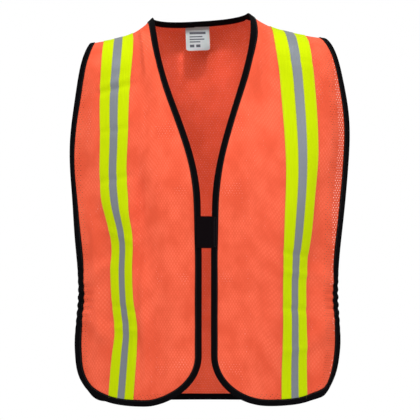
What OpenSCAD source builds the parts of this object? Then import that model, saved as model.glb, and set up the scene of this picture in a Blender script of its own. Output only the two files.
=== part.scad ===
// Open-sided high visibility vest: mesh panels, bound edges, shoulder tapes, closure and side elastics.
// +X is the wearer's left, the front faces -Y and +Z is up. The origin is level with the neck points,
// midway between them, where the vest rests on the shoulders.

/* [Outline] */
// Half of the neck opening at the shoulder line
neck_half = 80; // [76:1:84]
// Half of the width across the shoulder tips
tip_half = 194; // [190:1:198]
// Fall of the shoulder line from neck point to tip
shoulder_drop = 42; // [36:1:48]
// Half of the width at the waist
waist_half = 212; // [208:1:216]
// Extra half-width at the chest
chest_extra = 16; // [10:1:20]
// Depth of the front hem below the neck points
front_length = 632; // [622:1:645]
// Depth of the back hem below the neck points
back_length = 635; // [625:1:645]
// Half of the gap between the two front edges
front_gap_half = 8; // [7:0.5:9]
// Depth at which the neckline's V ends
v_depth = 310; // [300:1:316]

/* [Body shape] */
// Distance from the shoulder plane to the front of the chest
front_depth = 140; // [130:1:145]
// Distance from the shoulder plane to the middle of the back
back_depth = 118; // [110:1:124]
// Height over which the cloth rolls over the shoulder
roll_h = 55; // [50:1:60]
// Length of cloth in that roll
roll_w = 105; // [100:1:110]

/* [Trim] */
// Width of the edge binding
binding_w = 10.5; // [9:0.5:12]
// Width of the lime tape
tape_w = 50.8; // [46:0.2:52]
// Width of the silver stripe
stripe_w = 13.5; // [12:0.5:16]
// Distance of the tape's middle from the middle of the vest
tape_x = 141; // [138:1:144]
// Height of the closure and of the side elastics
webbing_w = 50.8; // [46:0.2:52]
// Depth of the closure's middle below the neck points
closure_depth = 354; // [345:0.5:355]
// Depth of the side elastics' middle below the neck points
elastic_depth = 466; // [460:1:470]
// Width of the neck label
label_w = 39; // [36:1:42]
// Height of the neck label
label_h = 38; // [36:1:40]

/* [Layers] */
// Thickness of the mesh cloth
mesh_t = 0.7; // [0.7:0.1:0.9]
// Thickness of the tape, and of each leaf of the binding
tape_t = 0.7; // [0.6:0.1:0.8]
// Thickness of the silver stripe
stripe_t = 0.4; // [0.3:0.1:0.5]
// Thickness of the hook tab, loop tab and elastic
webbing_t = 1.2; // [1:0.1:1.4]

/* [Hidden] */

ORANGE = [0.96, 0.38, 0.26];
BLACK = [0.05, 0.05, 0.06];
LIME = [0.75, 0.9, 0.05];
SILVER = [0.55, 0.56, 0.6];
PALE = [0.86, 0.87, 0.87];
THREAD = [0.16, 0.16, 0.18];

// Gap left between layers that touch on the real vest, and more of it inside the binding's fold
play = 0.1;
fold_play = 0.4;
// Half of the gap at the shoulder, between the cloth of the front and of the back
shoulder_gap = 0.6;
// Margin of cloth that the binding's fold hides, measured in from the edge
cloth_edge = 1.2;
binding_fold = 0.9;
// The front's lower corners: height where the inner and outer curves begin, above the hem
inner_rise = 82;
outer_rise = 80;
// Place along the front hem of its lowest point, and how square its outer corner is
hem_low_x = 105;
corner_power = 2.8;
// Radius of the back's lower corners, and how far the back's sides stand inside the fronts'
back_corner = 48;
back_inset = 10;
// Length of cloth from the shoulder line down to the back neckline, at its middle
neck_dip = 38;
// Half of the back neckline's width, inside the neck points
neck_curve_half = neck_half - 2;
// Half-width inside which the shoulder line is level: as far out as the binding goes
neck_flat = neck_curve_half + binding_w + 0.5;
// Width of the shoulder seam
seam_w = 8;
// How flat the cloth lies across the body: fall in depth per square millimetre of width
front_bow_top = 0.0014;
front_bow_low = 0.0021;
back_bow = 0.0016;
// Depth at the shoulder, where the cloth is closest to the shoulder plane
front_depth_top = 95;
back_depth_top = 84;
// Depth below which the body keeps its section
settle_depth = 300;

ROWS = 24;
// Fractions of the cloth's length at which it has a row of points: closer at the shoulder and the hem
ROW_T = [for (i = [0 : ROWS]) let (u = i / ROWS) 0.3 * u + 0.35 * (1 - cos(180 * u))];
// Rows of the back between its top edge and the neck binding's inner edge
TOP_STEPS = [0, 1 / 3, 2 / 3];
BACK = 1;
FRONT = -1;

function clamp01(v) = max(0, min(1, v));
function smooth(v) = let (c = clamp01(v)) c * c * (3 - 2 * c);
function bump(v) = exp(-v * v);

// Shoulder line and the roll of the cloth over it
function shoulder_z(x) =
    let (q = clamp01((abs(x) - neck_flat) / (tip_half - neck_flat)))
    -shoulder_drop * (1 - pow(1 - q, 2));
function sink(w) = w < roll_w ? roll_h * (1 - cos(90 * w / roll_w)) : roll_h + w - roll_w;
function unsink(s) = s < roll_h ? roll_w / 90 * acos(1 - s / roll_h) : roll_w + s - roll_h;
function lean(w) = w < roll_w ? sin(90 * w / roll_w) : 1;

// Distance of the cloth from the shoulder plane
function bow(side, z) =
    side == FRONT ? front_bow_top + (front_bow_low - front_bow_top) * smooth(-z / settle_depth) : back_bow;
function reach(side, z) =
    side == FRONT
        ? front_depth_top + (front_depth - front_depth_top) * smooth(-z / settle_depth)
        : back_depth_top + (back_depth - back_depth_top) * smooth(-z / settle_depth);

// Point of the cloth: x across, w down along the cloth from the shoulder line
function cloth(side, x, w) =
    let (z = shoulder_z(x) - sink(w))
    [x, side * (reach(side, z) - bow(side, z) * x * x) * lean(w), z];
function inward(side, x, w) =
    let (dx = cloth(side, x + 0.5, w) - cloth(side, x - 0.5, w))
    let (dw = cloth(side, x, w + 0.5) - cloth(side, x, w - 0.5))
    let (n = cross(dx, dw) * -side)
    n / norm(n);
// The same point raised by h out of the cloth
function raised(side, xw, h) = cloth(side, xw[0], xw[1]) - inward(side, xw[0], xw[1]) * h;

// Edges of the vest, at depth s below the shoulder line, moved in by e
function v_edge(s) =
    let (wide = 0.88 * pow(cos(90 * clamp01(s / v_depth)), 2) + 0.12 * (1 - clamp01(s / (v_depth + 80))))
    front_gap_half + (neck_half - 2 - front_gap_half) * wide;
function side_edge(s) =
    let (z = -shoulder_drop - s)
    waist_half + chest_extra * bump((z + 210) / 130)
    - (waist_half + 3 - tip_half) * exp(-s / 30) + 5.5 * bump((z + 545) / 55);

inner_bend = front_length - inner_rise;
outer_bend = front_length - outer_rise - shoulder_drop;
hem_half_out = side_edge(outer_bend) - hem_low_x;
hem_half_in = hem_low_x - front_gap_half;

function squircle(v, p) = pow(max(0, 1 - pow(clamp01(v), p)), 1 / p);
function inner_x(s, e) =
    s < inner_bend
        ? v_edge(s) + e
        : hem_low_x - (hem_half_in - e) * squircle((s - inner_bend) / (inner_rise - e), 2);
function outer_x(s, e) =
    s < outer_bend
        ? side_edge(s) - e
        : hem_low_x + (hem_half_out - e) * squircle((s - outer_bend) / (outer_rise - e), corner_power);
function hem_z(x, e) =
    x < hem_low_x
        ? -inner_bend - (inner_rise - e) * squircle((hem_low_x - x) / (hem_half_in - e), 2)
        : -outer_bend - shoulder_drop
          - (outer_rise - e) * squircle((x - hem_low_x) / (hem_half_out - e), corner_power);
function w_at(x, z) = unsink(shoulder_z(x) - z);

// Lower corner points of a front: where its sides end and its hem begins
function corner_in(e) = inner_bend + (inner_rise - e) * sqrt(0.5);
function corner_out(e) = outer_bend + (outer_rise - e) * pow(0.5, 1 / corner_power);

// Front cloth at a place f across (0 inner edge, 1 side) and t down, with its edges moved in by e
function front_w_ends(t, e) = [
    shoulder_gap + t * (unsink(corner_in(e)) - shoulder_gap),
    shoulder_gap + t * (unsink(corner_out(e)) - shoulder_gap)
];
function front_x_ends(t, e) =
    let (w = front_w_ends(t, e)) [inner_x(sink(w[0]), e), outer_x(sink(w[1]), e)];
function mix(a, b, f) = a + (b - a) * f;
function front_xw(f, t, e) =
    let (xe = front_x_ends(t, e))
    let (we = front_w_ends(t, e))
    let (hem_xe = front_x_ends(1, e))
    let (hem_we = front_w_ends(1, e))
    let (hem_x = mix(hem_xe[0], hem_xe[1], f))
    let (sag = w_at(hem_x, hem_z(hem_x, e)) - mix(hem_we[0], hem_we[1], f))
    [mix(xe[0], xe[1], f), mix(we[0], we[1], f) + t * sag];

// Back cloth: f runs from the wearer's right side to the left, t from the top edge to the hem
back_bend = back_length - back_corner - shoulder_drop;
function back_side_x(s, e) =
    s < back_bend
        ? side_edge(s) - back_inset * smooth(s / 120) - e
        : side_edge(back_bend) - back_inset - back_corner
          + (back_corner - e) * squircle((s - back_bend) / (back_corner - e), 2);
function back_corner_s(e) = back_bend + (back_corner - e) * sqrt(0.5);
function back_hem_z(x, e) =
    let (flat_half = side_edge(back_bend) - back_inset - back_corner)
    -back_length + back_corner
    - (back_corner - e) * squircle((abs(x) - flat_half) / (back_corner - e), 2);
function neckline_w(x, e) =
    shoulder_gap + (neck_dip + e) * squircle(abs(x) / (neck_curve_half + e), 2);
// The second row runs along the binding's inner edge at the neck and along the seam on the shoulders
function second_w(x) = max(shoulder_gap + seam_w, neckline_w(x, binding_w));
function back_w_end(t, e) = mix(shoulder_gap + seam_w, unsink(back_corner_s(e)), t);
function back_x_end(t, e) = back_side_x(sink(back_w_end(t, e)), e);
function back_xw(f, t, e) =
    let (hem_x = (2 * f - 1) * back_x_end(1, e))
    let (top_x = (2 * f - 1) * back_x_end(0, e))
    let (sag = w_at(hem_x, back_hem_z(hem_x, e)) - back_w_end(1, e))
    let (dip = second_w(top_x) - shoulder_gap - seam_w)
    [(2 * f - 1) * back_x_end(t, e), back_w_end(t, e) + t * sag + (1 - t) * dip];
function back_top_xw(f, e) =
    let (x = (2 * f - 1) * back_side_x(sink(shoulder_gap), e))
    [x, neckline_w(x, cloth_edge)];

// Places of the tape across the cloth, with its width laid along the cloth's own slope
function tape_mid(side, z) = tape_x + (side == FRONT ? 12 * bump((z + 220) / 110) : 0);
function tape_line(side, z, off) =
    let (mid = tape_mid(side, z))
    mid + off / sqrt(1 + pow(2 * bow(side, z) * mid, 2));
TAPE_OFFSETS = [-tape_w / 2, -stripe_w / 2, stripe_w / 2, tape_w / 2];

// Columns of the front at row t: inner edge, tape and stripe lines, side
function front_columns(t) =
    let (xe = front_x_ends(t, binding_w))
    let (z = -sink(front_w_ends(t, binding_w)[0]))
    let (lines = [for (o = TAPE_OFFSETS) (tape_line(FRONT, z, o) - xe[0]) / (xe[1] - xe[0])])
    concat([for (k = [0, 0.17, 0.4, 0.7]) k * lines[0]], lines, [for (k = [0.5, 0.8]) mix(lines[3], 1, k)], [1]);
FRONT_COLS = len(front_columns(0));
FRONT_TAPE_COLS = [4, 7];
FRONT_STRIPE_COLS = [5, 6];

// Columns of the back: side, tape, shoulder, neck, middle, and the same again
NECK_XS = concat(
    [neck_flat],
    [for (k = [1, 0.985, 0.94, 0.86, 0.72, 0.5, 0.25]) k * (neck_curve_half + cloth_edge)]
);
top_side_x = back_side_x(sink(shoulder_gap), binding_w);
function back_columns(t) =
    let (xe = back_x_end(t, binding_w))
    let (half = [for (o = TAPE_OFFSETS) tape_line(BACK, 0, o) / xe])
    let (right = [for (h = concat([1, half[3], half[2], half[1], half[0]], NECK_XS / top_side_x)) (1 - h) / 2])
    concat(right, [0.5], [for (i = [len(right) - 1 : -1 : 0]) 1 - right[i]]);
BACK_COLS = len(back_columns(0));
BACK_TAPE_COLS = [1, 4];
BACK_STRIPE_COLS = [2, 3];
BACK_SEAM_COLS = [0, 5];

function front_grid(c0, c1) =
    [for (t = ROW_T) let (cols = front_columns(t)) [for (c = [c0 : c1]) front_xw(cols[c], t, binding_w)]];
function back_row(t, c0, c1) =
    let (cols = back_columns(t))
    [for (c = [c0 : c1]) back_xw(cols[c], t, binding_w)];
function back_seam_rows(c0, c1) =
    let (cols = back_columns(0))
    let (top = [for (c = [c0 : c1]) back_top_xw(cols[c], binding_w)])
    concat([for (k = TOP_STEPS) mix(top, back_row(0, c0, c1), k)], [back_row(0, c0, c1)]);
function back_grid(c0, c1) =
    concat(back_seam_rows(c0, c1), [for (i = [1 : ROWS]) back_row(ROW_T[i], c0, c1)]);

// Rim of a front, from the neck point down, along the hem and up to the shoulder tip, moved in by e
function front_rim(e) =
    let (cols = front_columns(1))
    concat(
        [for (t = ROW_T) front_xw(0, t, e)],
        [for (c = [1 : FRONT_COLS - 2]) front_xw(cols[c], 1, e)],
        [for (i = [ROWS : -1 : 0]) front_xw(1, ROW_T[i], e)]
    );
// Rim of the back, from the right shoulder tip down, along the hem and up to the left one
function back_rim(e) =
    let (cols = back_columns(1))
    let (tip = [back_side_x(sink(shoulder_gap), e), shoulder_gap])
    let (top = [for (k = TOP_STEPS) mix(tip, back_xw(1, 0, e), k)])
    concat(
        [for (p = top) [-p[0], p[1]]],
        [for (t = ROW_T) back_xw(0, t, e)],
        [for (c = [1 : BACK_COLS - 2]) back_xw(cols[c], 1, e)],
        [for (i = [ROWS : -1 : 0]) back_xw(1, ROW_T[i], e)],
        [for (i = [len(top) - 1 : -1 : 0]) top[i]]
    );
// Rim of the back neckline, an ellipse that grows as it moves in by e
NECK_ANGLES = concat(
    [for (i = [1 : len(NECK_XS) - 1]) acos(NECK_XS[i] / NECK_XS[1])],
    [90],
    [for (i = [len(NECK_XS) - 1 : -1 : 1]) 180 - acos(NECK_XS[i] / NECK_XS[1])]
);
function neck_rim(e) =
    [for (a = NECK_ANGLES) [(neck_curve_half + e) * cos(a), shoulder_gap + (neck_dip + e) * sin(a)]];

// Faces of a grid of rows by cols points. The diagonals run the other way in the first turned columns,
// so that the back is split alike on both sides of its middle.
function grid_faces(rows, cols, turned = 0) =
    [for (r = [0 : rows - 2]) for (c = [0 : cols - 2])
        let (a = r * cols + c)
        let (b = a + cols)
        each c < turned ? [[a, a + 1, b], [a + 1, b + 1, b]] : [[a, a + 1, b + 1], [a, b + 1, b]]];
// Closed solid between two copies of a surface: upper and lower points, the upper faces, the edge loop
module shell(side, cloth_points, low, high, top, loop) {
    n = len(cloth_points);
    m = len(loop);
    points = concat(
        [for (p = cloth_points) raised(side, p, high)],
        [for (p = cloth_points) raised(side, p, low)]
    );
    wall = [for (i = [0 : m - 1])
        let (a = loop[i])
        let (b = loop[(i + 1) % m])
        each [[b, a, a + n], [b, a + n, b + n]]];
    faces = concat(top, [for (f = top) [f[0] + n, f[2] + n, f[1] + n]], wall);
    polyhedron(points, side == FRONT ? faces : [for (f = faces) [f[0], f[2], f[1]]]);
}

// Strip or patch that lies on the cloth between heights low and high
module patch(side, grid, low, high) {
    rows = len(grid);
    cols = len(grid[0]);
    loop = concat(
        [for (c = [0 : cols - 1]) c],
        [for (r = [1 : rows - 1]) r * cols + cols - 1],
        [for (c = [cols - 2 : -1 : 0]) (rows - 1) * cols + c],
        [for (r = [rows - 2 : -1 : 1]) r * cols]
    );
    shell(side, [for (row = grid) each row], low, high, grid_faces(rows, cols), loop);
}

// Panel of cloth: the grid, and round its sides and hem a rim of cloth that ends inside the binding
module panel(side, grid, rim_in, rim_out) {
    rim = mix(rim_out, rim_in, cloth_edge / binding_w);
    rows = len(grid);
    cols = len(grid[0]);
    n = rows * cols;
    m = len(rim);
    inner = concat(
        [for (r = [0 : rows - 1]) r * cols],
        [for (c = [1 : cols - 2]) (rows - 1) * cols + c],
        [for (r = [rows - 1 : -1 : 0]) r * cols + cols - 1]
    );
    edge = [for (i = [0 : m - 2])
        let (a = inner[i])
        let (b = inner[i + 1])
        each [[a, b, n + i + 1], [a, n + i + 1, n + i]]];
    loop = concat([for (i = [m - 1 : -1 : 0]) n + i], [for (c = [0 : cols - 1]) c]);
    turned = side == BACK ? (cols - 1) / 2 : 0;
    shell(side, concat([for (row = grid) each row], rim), -mesh_t / 2, mesh_t / 2,
        concat(grid_faces(rows, cols, turned), edge), loop);
}

// Solid with one cross-section all along a rim: section is a closed list of [inset, height]
module bound_edge(side, rim_in, rim_out, section) {
    count = len(rim_in);
    k = len(section);
    points = [for (i = [0 : count - 1]) for (q = section)
        raised(side, mix(rim_out[i], rim_in[i], q[0] / binding_w), q[1])];
    walls = [for (i = [0 : count - 2]) for (j = [0 : k - 1])
        let (a = i * k + j)
        let (b = i * k + (j + 1) % k)
        each [[a, b, b + k], [a, b + k, a + k]]];
    caps = [[for (j = [k - 1 : -1 : 0]) j], [for (j = [0 : k - 1]) (count - 1) * k + j]];
    faces = concat(walls, caps);
    polyhedron(points, side == FRONT ? faces : [for (f = faces) [for (i = [len(f) - 1 : -1 : 0]) f[i]]]);
}

leaf_in = mesh_t / 2 + fold_play;
leaf_out = leaf_in + tape_t;
tape_in = mesh_t / 2 + play;
tape_out = tape_in + tape_t;
FOLD = [
    [binding_w, leaf_in], [binding_w, leaf_out], [0, leaf_out], [0, -leaf_out],
    [binding_w, -leaf_out], [binding_w, -leaf_in], [binding_fold, -leaf_in], [binding_fold, leaf_in]
];

// A level cut through a flat strip of webbing: the strip's middle line, thickened
function turn(p, q) = let (d = q - p) [-d[1], d[0]] / norm(d);
function strip_outline(line, t) =
    let (last = len(line) - 1)
    let (n = [for (i = [0 : last]) turn(line[max(0, i - 1)], line[min(last, i + 1)])])
    concat(
        [for (i = [0 : last]) line[i] + n[i] * t / 2],
        [for (i = [last : -1 : 0]) line[i] - n[i] * t / 2]
    );
module webbing(outline, depth, height) {
    translate([0, 0, -depth]) linear_extrude(height = height, center = true) polygon(outline);
}
// Point at x on the cloth at this depth, moved by h out of the cloth, seen from above
function plan(side, x, depth, h) =
    let (slope = 2 * bow(side, -depth) * x)
    [x, side * (reach(side, -depth) - bow(side, -depth) * x * x + h * sqrt(1 + slope * slope))];

// Side elastic: runs from just behind the front's edge and ends inside the back's edge
ELASTIC_STEPS = 8;
elastic_gap = 4;
elastic_tuck = 0.5;
elastic_lead = 0.5;
sewn_length = 16;
elastic_h = -(leaf_out + 0.4 + webbing_t / 2);
front_edge_x = side_edge(elastic_depth - shoulder_drop);
back_edge_x = front_edge_x - back_inset;
function curve(a, b, c, t) = a * pow(1 - t, 2) + b * 2 * t * (1 - t) + c * t * t;
ELASTIC_LINE =
    let (a = plan(FRONT, front_edge_x, elastic_depth, 0) + [-elastic_tuck, elastic_gap])
    let (c = plan(BACK, back_edge_x - 1, elastic_depth, elastic_h))
    let (d = plan(BACK, back_edge_x - sewn_length, elastic_depth, elastic_h))
    let (b = c + (c - d) * elastic_lead)
    concat([for (i = [0 : ELASTIC_STEPS]) curve(a, b, c, i / ELASTIC_STEPS)], [d]);
ELASTIC_END_LINE = [for (k = [0, 0.5, 1]) plan(FRONT, front_edge_x - 1 - sewn_length * k, elastic_depth, elastic_h)];

// Closure, cut level: place across and distance out of the cloth's plane
tab_reach = 17.5;
peel_x = 12;
peel_clear = 0.3;
tab_low = leaf_out + 0.3;
tab_mid = tab_low + webbing_t;
tab_high = tab_mid + 0.3;
tab_top = tab_high + webbing_t;
base_end_x = front_gap_half + binding_w + 1;
HOOK_FLAP = [
    [-tab_reach, tab_high], [6.5, tab_high], [9, tab_low], [peel_x - peel_clear, tab_low],
    [peel_x - peel_clear, tab_mid], [9.6, tab_mid], [7.1, tab_top], [-tab_reach, tab_top]
];
module closure_piece(section) {
    webbing([for (q = section) [q[0], -front_depth - q[1]]], closure_depth, webbing_w);
}
function bar(x0, x1, low, high) = [[x0, low], [x1, low], [x1, high], [x0, high]];

// Raised rows of thread
thread_w = 0.8;
thread_t = 0.3;
stitch_h = webbing_w - 6;
stitch_inset = [2.5, 7.5];

// The wearer's left is drawn, and the right is its mirror image
module on_right() mirror([1, 0, 0]) children();
module front_panel() color(ORANGE) panel(FRONT, front_grid(0, FRONT_COLS - 1), front_rim(binding_w), front_rim(0));
module front_binding() color(BLACK) bound_edge(FRONT, front_rim(binding_w), front_rim(0), FOLD);
module front_tape() color(LIME)
    patch(FRONT, front_grid(FRONT_TAPE_COLS[0], FRONT_TAPE_COLS[1]), tape_in, tape_out);
module front_stripe() color(SILVER)
    patch(FRONT, front_grid(FRONT_STRIPE_COLS[0], FRONT_STRIPE_COLS[1]), tape_out + play, tape_out + play + stripe_t);
module elastic_front_end() color(BLACK)
    webbing(strip_outline(ELASTIC_END_LINE, webbing_t), elastic_depth, webbing_w);
module front_elastic_stitching() color(THREAD) edge_stitching(FRONT, front_edge_x);
module edge_stitching(side, edge_x) {
    for (inset = stitch_inset) {
        patch(side, [for (z = [-stitch_h / 2, stitch_h / 2]) [for (x = [edge_x - inset - thread_w, edge_x - inset])
            [x, w_at(x, -elastic_depth - z)]]], leaf_out + play, leaf_out + play + thread_t);
    }
}

module back_panel() color(ORANGE) panel(BACK, back_grid(0, BACK_COLS - 1), back_rim(binding_w), back_rim(0));
module back_binding() color(BLACK) bound_edge(BACK, back_rim(binding_w), back_rim(0), FOLD);
module back_neck_binding() color(BLACK) bound_edge(BACK, neck_rim(binding_w), neck_rim(0), FOLD);
module back_tape() color(LIME)
    patch(BACK, back_grid(BACK_TAPE_COLS[0], BACK_TAPE_COLS[1]), tape_in, tape_out);
module back_stripe() color(SILVER)
    patch(BACK, back_grid(BACK_STRIPE_COLS[0], BACK_STRIPE_COLS[1]), tape_out + play, tape_out + play + stripe_t);
module shoulder_seam() color(ORANGE)
    patch(BACK, back_seam_rows(BACK_SEAM_COLS[0], BACK_SEAM_COLS[1]), -tape_in - 1, -tape_in);
module side_elastic() color(BLACK) webbing(strip_outline(ELASTIC_LINE, webbing_t), elastic_depth, webbing_w);
module back_elastic_stitching() color(THREAD) {
    edge_stitching(BACK, back_edge_x);
    on_right() edge_stitching(BACK, back_edge_x);
}

module hook_tab() color(BLACK) closure_piece(HOOK_FLAP);
module hook_tab_base() color(BLACK) closure_piece(bar(peel_x + peel_clear, base_end_x, tab_low, tab_mid));
module loop_tab() color(BLACK) closure_piece(bar(-base_end_x, 5, tab_low, tab_mid));
module hook_stitching() color(THREAD) {
    for (x = [14, 17]) {
        closure_piece(bar(x, x + thread_w, tab_mid, tab_mid + thread_t));
    }
}
module loop_stitching() color(THREAD) {
    closure_piece(bar(-18.7, -18.7 + thread_w, tab_mid, tab_mid + thread_t));
}

// The neck label hangs inside the back, from under the neck binding
label_y = 56.8;
label_top_z = -16.2;
label_t = 1;
label_corner_r = 4;
module neck_label() color(PALE)
    translate([0, label_y + label_t / 2, label_top_z]) rotate([90, 0, 0]) linear_extrude(height = label_t) {
        translate([-label_w / 2, label_corner_r - label_h]) square([label_w, label_h - label_corner_r]);
        translate([label_corner_r - label_w / 2, -label_h]) square([label_w - 2 * label_corner_r, label_h]);
        for (sign = [-1, 1]) {
            translate([sign * (label_w / 2 - label_corner_r), label_corner_r - label_h])
                circle(r = label_corner_r, $fn = 32);
        }
    }
module label_stitching() color(THREAD)
    patch(BACK, [for (w = [neck_dip + 7.2, neck_dip + 8]) [for (x = [-15, 0, 15]) [x, w]]],
        leaf_out + 2 * play, leaf_out + 2 * play + thread_t);

back_panel();
on_right() front_panel();  // right_front_panel
front_panel();  // left_front_panel
back_neck_binding();
back_binding();
on_right() front_binding();  // right_front_binding
front_binding();  // left_front_binding
on_right() front_tape();  // right_front_tape
front_tape();  // left_front_tape
back_tape();  // right_back_tape
on_right() back_tape();  // left_back_tape
on_right() front_stripe();  // right_front_stripe
front_stripe();  // left_front_stripe
back_stripe();  // right_back_stripe
on_right() back_stripe();  // left_back_stripe
shoulder_seam();  // right_shoulder_seam
on_right() shoulder_seam();  // left_shoulder_seam
on_right() side_elastic();  // right_side_elastic
side_elastic();  // left_side_elastic
on_right() elastic_front_end();  // right_elastic_front_end
elastic_front_end();  // left_elastic_front_end
hook_tab();
hook_tab_base();
loop_tab();
neck_label();
label_stitching();
hook_stitching();
loop_stitching();
on_right() front_elastic_stitching();  // right_elastic_stitching
front_elastic_stitching();  // left_elastic_stitching
back_elastic_stitching();
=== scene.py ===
import math

import bmesh
import bpy
import numpy as np
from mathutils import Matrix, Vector


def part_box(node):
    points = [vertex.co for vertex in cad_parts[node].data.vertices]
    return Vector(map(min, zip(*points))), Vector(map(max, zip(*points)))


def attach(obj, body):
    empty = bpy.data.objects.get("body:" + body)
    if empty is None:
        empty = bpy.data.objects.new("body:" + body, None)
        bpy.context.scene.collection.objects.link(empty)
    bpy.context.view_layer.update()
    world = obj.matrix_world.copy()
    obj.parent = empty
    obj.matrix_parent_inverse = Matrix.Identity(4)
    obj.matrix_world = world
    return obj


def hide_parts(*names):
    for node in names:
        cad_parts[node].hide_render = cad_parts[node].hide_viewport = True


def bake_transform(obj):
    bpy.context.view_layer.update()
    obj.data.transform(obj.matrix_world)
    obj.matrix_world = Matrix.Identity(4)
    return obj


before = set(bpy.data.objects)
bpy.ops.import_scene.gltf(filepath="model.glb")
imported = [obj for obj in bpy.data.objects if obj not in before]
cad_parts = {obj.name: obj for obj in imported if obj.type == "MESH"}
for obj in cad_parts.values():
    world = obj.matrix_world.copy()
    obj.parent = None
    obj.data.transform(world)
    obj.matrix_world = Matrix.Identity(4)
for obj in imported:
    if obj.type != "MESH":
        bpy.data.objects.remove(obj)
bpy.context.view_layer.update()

# ------------------------------------------------
# Sizes, in metres. A size that is a node's own is read from the frame.
MM = 0.001


def node_size(node, axis):
    low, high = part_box(node)
    return high[axis] - low[axis]


def node_middle(node, axis):
    low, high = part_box(node)
    return (low[axis] + high[axis]) / 2


FRONT_LENGTH = -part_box("left_front_binding")[0][2]
BACK_LENGTH = -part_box("back_binding")[0][2]
WEBBING_W = node_size("hook_tab", 2)
LABEL_W = node_size("neck_label", 0)
LABEL_H = node_size("neck_label", 2)
CLOSURE_Z = node_middle("hook_tab", 2)
ELASTIC_Z = node_middle("left_side_elastic", 2)
NECK_CURVE_HALF = 78 * MM
NECK_DIP = 34 * MM
NECK_POWER = 2.7
COLLAR_RISE = 3.3 * MM
TIP_HALF = 194 * MM
SHOULDER_DROP = 42 * MM
STRAIGHT_DROP = 0.4         # how much of the drop is a straight slope
DROP_AT_TAPE = 0.8          # how much of it has come by the tape
WAIST_HALF = 212 * MM
CHEST_EXTRA = 16 * MM
CHEST_Z, CHEST_SPREAD = -0.210, 0.130
HIP_EXTRA = 5.5 * MM
HIP_Z, HIP_SPREAD = -0.545, 0.055
GAP_HALF = 7.2 * MM
V_DEPTH = 310 * MM
# How far the cloth stands from the middle plane, under the shoulder and lower down, and its bow
FRONT_TOP_DEPTH, FRONT_DEPTH = 95 * MM, 140 * MM
BACK_TOP_DEPTH, BACK_DEPTH = 84 * MM, 118 * MM
FRONT_TOP_BOW, FRONT_BOW, BACK_BOW = 1.4, 2.1, 1.6
# The roll over the shoulder: its height, and its length along the cloth
ROLL_H = 55 * MM
ROLL_W = 105 * MM
CUT_LENGTH = 0.70
BINDING_W = 10.5 * MM
TAPE_W = 50.8 * MM
STRIPE_W = 13.5 * MM
INNER_RISE = 82 * MM
OUTER_RISE = 80 * MM
HEM_LOW_X = 105 * MM
CORNER_POWER = 2.8
BACK_CORNER = 48 * MM
BACK_INSET = 10 * MM
SETTLE_DEPTH = 300 * MM
FRONT, BACK = -1, 1
RIGHT, LEFT = -1, 1
HANDS = ((RIGHT, "right"), (LEFT, "left"))
SIDES = ((FRONT, "front"), (BACK, "back"))

# Heights out of the cloth's middle surface
LEAF_T = 0.7 * MM
LEAF_H = 0.45 * MM
TAPE_H = 0.4 * MM
TAPE_T = 0.5 * MM
STRIPE_T = 0.3 * MM
THREAD_R = 0.32 * MM

# The holes of the mesh: pitch across, height of a row, and how much of a cell the hole takes
HOLE_PITCH = 4.65 * MM
HOLE_ROW = 4.0 * MM
FRONT_HOLE, BACK_HOLE = 0.23, 0.08
HEX_SHIFT = 0.6 * MM
HOLE_SINK = 0.15 * MM


def mix(a, b, f):
    return a + (b - a) * f


def smooth(v):
    c = np.clip(v, 0, 1)
    return c * c * (3 - 2 * c)


def bump(v):
    return np.exp(-np.square(v))


def curve_through(points):
    """A smooth curve through a few given points, each a place and a value."""
    zs, vs = np.array(sorted(points)).T
    slopes = np.gradient(vs, zs)

    def value(z):
        z = np.clip(z, zs[0], zs[-1])
        i = np.clip(np.searchsorted(zs, z) - 1, 0, len(zs) - 2)
        h = zs[i + 1] - zs[i]
        t = (z - zs[i]) / h
        a = (1 + 2 * t) * (1 - t) ** 2 * vs[i] + t * (1 - t) ** 2 * h * slopes[i]
        return a + t * t * (3 - 2 * t) * vs[i + 1] + t * t * (t - 1) * h * slopes[i + 1]

    return value


# ------------------------------------------------
# The cloth's surface: x across, w down along the cloth from the shoulder line, as in the CAD
def shoulder_z(x):
    q = np.clip((np.abs(x) - NECK_CURVE_HALF) / (TIP_HALF - NECK_CURVE_HALF), 0, 1)
    return -SHOULDER_DROP * (STRAIGHT_DROP * q + (1 - STRAIGHT_DROP) * (1 - (1 - q) ** 3))


def sink(w):
    """Depth below the shoulder line, at w along the cloth."""
    return np.where(w < ROLL_W, ROLL_H * (1 - np.cos(math.pi / 2 * w / ROLL_W)), ROLL_H + w - ROLL_W)


def unsink(s):
    roll = ROLL_W * 2 / math.pi * np.arccos(np.clip(1 - s / ROLL_H, -1, 1))
    return np.where(s < ROLL_H, roll, ROLL_W + s - ROLL_H)


def lean(w):
    """0 at the shoulder line and 1 where the cloth has rolled over to hang down."""
    return np.where(w < ROLL_W, np.sin(math.pi / 2 * w / ROLL_W), 1.0)


def bow(side, z):
    if side == BACK:
        return BACK_BOW + 0 * z
    return mix(FRONT_TOP_BOW, FRONT_BOW, smooth(-z / SETTLE_DEPTH))


def reach(side, z):
    top, low = (FRONT_TOP_DEPTH, FRONT_DEPTH) if side == FRONT else (BACK_TOP_DEPTH, BACK_DEPTH)
    return mix(top, low, smooth(-z / SETTLE_DEPTH))


def base(side, x, w):
    z = shoulder_z(x) - sink(w)
    y = side * (reach(side, z) - bow(side, z) * x * x) * lean(w)
    z = z + lift_of_side(x, z)
    return np.stack([x, y, z - collar(x, w) if side == BACK else z], -1)


# Height added to the shoulders, by place across: the right one sits a little lower than the left
SHOULDER_LIFT = curve_through([
    (-0.30, -0.0037), (-0.08, -0.0037), (0.08, 0.005), (0.19, 0.0062), (0.30, 0.0062)])


def lift_of_side(x, z):
    """The shoulders' lift, which fades downwards, so the hems are level."""
    return SHOULDER_LIFT(x) * smooth(1 + z / SETTLE_DEPTH)


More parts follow.
